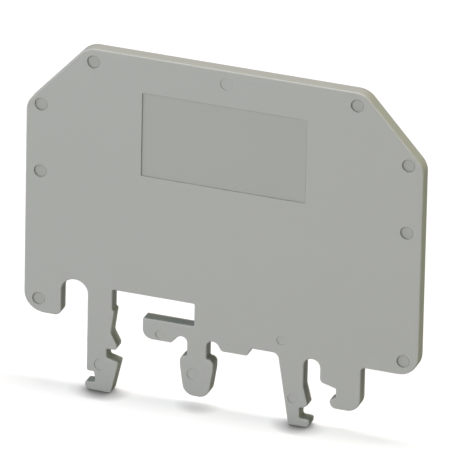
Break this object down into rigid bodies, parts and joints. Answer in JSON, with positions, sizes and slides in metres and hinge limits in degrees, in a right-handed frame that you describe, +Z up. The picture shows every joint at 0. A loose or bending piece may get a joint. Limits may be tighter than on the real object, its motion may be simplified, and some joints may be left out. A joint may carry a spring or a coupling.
{
  "type": "terminal block partition plate",
  "caption": "Flat grey plastic plate that stands between rail-mounted terminal blocks, with a chamfered top, a sunk label panel and snap feet that grip a 35 mm rail.",
  "frame": {"origin": "middle of the plate's length and thickness, level with the soles of the long feet", "axes": "+X across the rail towards the short hook leg, +Y through the thickness towards the plain side, +Z up away from the rail"},
  "size_m": [0.061, 0.002, 0.0549],
  "materials": {
    "plate_plastic": "matt moulded"
  },
  "bodies": {
    "root": {"partition_plate": "plate_plastic"}
  },
  "joints": []
}
